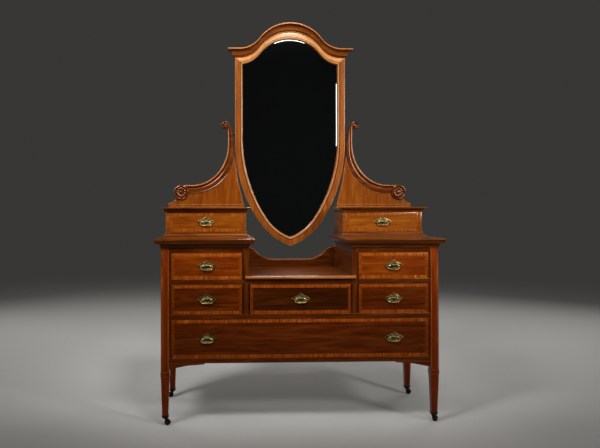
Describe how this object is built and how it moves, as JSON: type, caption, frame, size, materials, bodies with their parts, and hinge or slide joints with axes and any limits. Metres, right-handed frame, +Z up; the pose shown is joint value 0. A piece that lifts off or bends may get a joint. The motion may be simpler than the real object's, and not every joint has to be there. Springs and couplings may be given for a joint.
{
  "type": "dressing table",
  "caption": "Inlaid mahogany dressing table with drawers on each side of a low well, jewel boxes, tapered legs on castors and a shield-shaped swing mirror under an arched cornice.",
  "frame": {"origin": "on the floor, under the middle of the table's box", "axes": "+X to the viewer's right, +Y to the back, +Z up"},
  "size_m": [1.22, 0.526, 1.79],
  "materials": {
    "mahogany": "French polish",
    "inlaid_mahogany": "veneered, crossbanded and French polished",
    "oak_linings": "bare planed oak",
    "stained_pine": "stained, unpolished",
    "lacquered_brass": "stamped and lacquered",
    "dark_brass": "tarnished cast brass",
    "silvered_glass": "bevelled mirror plate"
  },
  "bodies": {
    "carcass": {"legs": "mahogany", "side_panels": "mahogany", "partitions": "mahogany", "back_boards": "stained_pine", "front_rails": "mahogany", "drawer_runners": "stained_pine", "pedestal_tops": "mahogany", "well_shelf": "mahogany", "well_gallery": "mahogany", "jewel_boxes": "mahogany", "jewel_tops": "mahogany", "mirror_supports": "inlaid_mahogany", "support_scrolls": "mahogany", "castor_sockets": "dark_brass"},
    "upper_left_drawer": {"upper_left_front": "inlaid_mahogany", "upper_left_box": "oak_linings", "upper_left_plate": "lacquered_brass"},
    "upper_left_bail": {"upper_left_bail": "lacquered_brass"},
    "upper_right_drawer": {"upper_right_front": "inlaid_mahogany", "upper_right_box": "oak_linings", "upper_right_plate": "lacquered_brass"},
    "upper_right_bail": {"upper_right_bail": "lacquered_brass"},
    "middle_left_drawer": {"middle_left_front": "inlaid_mahogany", "middle_left_box": "oak_linings", "middle_left_plate": "lacquered_brass"},
    "middle_left_bail": {"middle_left_bail": "lacquered_brass"},
    "middle_centre_drawer": {"middle_centre_front": "inlaid_mahogany", "middle_centre_box": "oak_linings", "middle_centre_plate": "lacquered_brass"},
    "middle_centre_bail": {"middle_centre_bail": "lacquered_brass"},
    "middle_right_drawer": {"middle_right_front": "inlaid_mahogany", "middle_right_box": "oak_linings", "middle_right_plate": "lacquered_brass"},
    "middle_right_bail": {"middle_right_bail": "lacquered_brass"},
    "long_drawer": {"long_front": "inlaid_mahogany", "long_box": "oak_linings", "long_plates": "lacquered_brass"},
    "long_left_bail": {"long_left_bail": "lacquered_brass"},
    "long_right_bail": {"long_right_bail": "lacquered_brass"},
    "jewel_left_drawer": {"jewel_left_front": "inlaid_mahogany", "jewel_left_box": "oak_linings", "jewel_left_plate": "lacquered_brass"},
    "jewel_left_bail": {"jewel_left_bail": "lacquered_brass"},
    "jewel_right_drawer": {"jewel_right_front": "inlaid_mahogany", "jewel_right_box": "oak_linings", "jewel_right_plate": "lacquered_brass"},
    "jewel_right_bail": {"jewel_right_bail": "lacquered_brass"},
    "mirror": {"mirror_frame": "inlaid_mahogany", "mirror_cornice": "inlaid_mahogany", "mirror_glass": "silvered_glass", "mirror_backboard": "stained_pine", "mirror_pivots": "lacquered_brass"},
    "front_left_castor": {"front_left_castor_horn": "dark_brass"},
    "front_left_wheel": {"front_left_castor_wheel": "dark_brass"},
    "front_right_castor": {"front_right_castor_horn": "dark_brass"},
    "front_right_wheel": {"front_right_castor_wheel": "dark_brass"},
    "back_left_castor": {"back_left_castor_horn": "dark_brass"},
    "back_left_wheel": {"back_left_castor_wheel": "dark_brass"},
    "back_right_castor": {"back_right_castor_horn": "dark_brass"},
    "back_right_wheel": {"back_right_castor_wheel": "dark_brass"}
  },
  "joints": [
    {"name": "upper_left_drawer_slide", "type": "slide", "parent": "carcass", "child": "upper_left_drawer", "axis": [0, -1, 0], "range_m": [0, 0.33]},
    {"name": "upper_left_bail_swing", "type": "hinge", "parent": "upper_left_drawer", "child": "upper_left_bail", "pos_m": [-0.39195, -0.241, 0.6625], "axis": [-1, 0, 0], "range_deg": [0, 95]},
    {"name": "upper_right_drawer_slide", "type": "slide", "parent": "carcass", "child": "upper_right_drawer", "axis": [0, -1, 0], "range_m": [0, 0.33]},
    {"name": "upper_right_bail_swing", "type": "hinge", "parent": "upper_right_drawer", "child": "upper_right_bail", "pos_m": [0.39195, -0.241, 0.6625], "axis": [-1, 0, 0], "range_deg": [0, 95]},
    {"name": "middle_left_drawer_slide", "type": "slide", "parent": "carcass", "child": "middle_left_drawer", "axis": [0, -1, 0], "range_m": [0, 0.33]},
    {"name": "middle_left_bail_swing", "type": "hinge", "parent": "middle_left_drawer", "child": "middle_left_bail", "pos_m": [-0.39195, -0.241, 0.524], "axis": [-1, 0, 0], "range_deg": [0, 95]},
    {"name": "middle_centre_drawer_slide", "type": "slide", "parent": "carcass", "child": "middle_centre_drawer", "axis": [0, -1, 0], "range_m": [0, 0.33]},
    {"name": "middle_centre_bail_swing", "type": "hinge", "parent": "middle_centre_drawer", "child": "middle_centre_bail", "pos_m": [0, -0.241, 0.524], "axis": [-1, 0, 0], "range_deg": [0, 95]},
    {"name": "middle_right_drawer_slide", "type": "slide", "parent": "carcass", "child": "middle_right_drawer", "axis": [0, -1, 0], "range_m": [0, 0.33]},
    {"name": "middle_right_bail_swing", "type": "hinge", "parent": "middle_right_drawer", "child": "middle_right_bail", "pos_m": [0.39195, -0.241, 0.524], "axis": [-1, 0, 0], "range_deg": [0, 95]},
    {"name": "long_drawer_slide", "type": "slide", "parent": "carcass", "child": "long_drawer", "axis": [0, -1, 0], "range_m": [0, 0.33]},
    {"name": "long_left_bail_swing", "type": "hinge", "parent": "long_drawer", "child": "long_left_bail", "pos_m": [-0.39195, -0.241, 0.3605], "axis": [-1, 0, 0], "range_deg": [0, 95]},
    {"name": "long_right_bail_swing", "type": "hinge", "parent": "long_drawer", "child": "long_right_bail", "pos_m": [0.39195, -0.241, 0.3605], "axis": [-1, 0, 0], "range_deg": [0, 95]},
    {"name": "jewel_left_drawer_slide", "type": "slide", "parent": "carcass", "child": "jewel_left_drawer", "axis": [0, -1, 0], "range_m": [0, 0.15]},
    {"name": "jewel_left_bail_swing", "type": "hinge", "parent": "jewel_left_drawer", "child": "jewel_left_bail", "pos_m": [-0.401, 0.012, 0.84125], "axis": [-1, 0, 0], "range_deg": [0, 95]},
    {"name": "jewel_right_drawer_slide", "type": "slide", "parent": "carcass", "child": "jewel_right_drawer", "axis": [0, -1, 0], "range_m": [0, 0.15]},
    {"name": "jewel_right_bail_swing", "type": "hinge", "parent": "jewel_right_drawer", "child": "jewel_right_bail", "pos_m": [0.401, 0.012, 0.84125], "axis": [-1, 0, 0], "range_deg": [0, 95]},
    {"name": "mirror_tilt", "type": "hinge", "parent": "carcass", "child": "mirror", "pos_m": [0, 0.235, 1.26], "axis": [1, 0, 0], "range_deg": [-18, 18]},
    {"name": "front_left_castor_swivel", "type": "hinge", "parent": "carcass", "child": "front_left_castor", "pos_m": [-0.5655, -0.2175, 0.0347], "axis": [0, 0, 1], "continuous": true},
    {"name": "front_left_wheel_roll", "type": "hinge", "parent": "front_left_castor", "child": "front_left_wheel", "pos_m": [-0.55664, -0.21594, 0.013], "axis": [0.1736, -0.9848, 0], "continuous": true},
    {"name": "front_right_castor_swivel", "type": "hinge", "parent": "carcass", "child": "front_right_castor", "pos_m": [0.5655, -0.2175, 0.0347], "axis": [0, 0, 1], "continuous": true},
    {"name": "front_right_wheel_roll", "type": "hinge", "parent": "front_right_castor", "child": "front_right_wheel", "pos_m": [0.57287, -0.21234, 0.013], "axis": [0.5736, -0.8192, 0], "continuous": true},
    {"name": "back_left_castor_swivel", "type": "hinge", "parent": "carcass", "child": "back_left_castor", "pos_m": [-0.5655, 0.2395, 0.0347], "axis": [0, 0, 1], "continuous": true},
    {"name": "back_left_wheel_roll", "type": "hinge", "parent": "back_left_castor", "child": "back_left_wheel", "pos_m": [-0.57436, 0.23794, 0.013], "axis": [-0.1736, 0.9848, 0], "continuous": true},
    {"name": "back_right_castor_swivel", "type": "hinge", "parent": "carcass", "child": "back_right_castor", "pos_m": [0.5655, 0.2395, 0.0347], "axis": [0, 0, 1], "continuous": true},
    {"name": "back_right_wheel_roll", "type": "hinge", "parent": "back_right_castor", "child": "back_right_wheel", "pos_m": [0.57396, 0.24258, 0.013], "axis": [0.342, -0.9397, 0], "continuous": true}
  ]
}
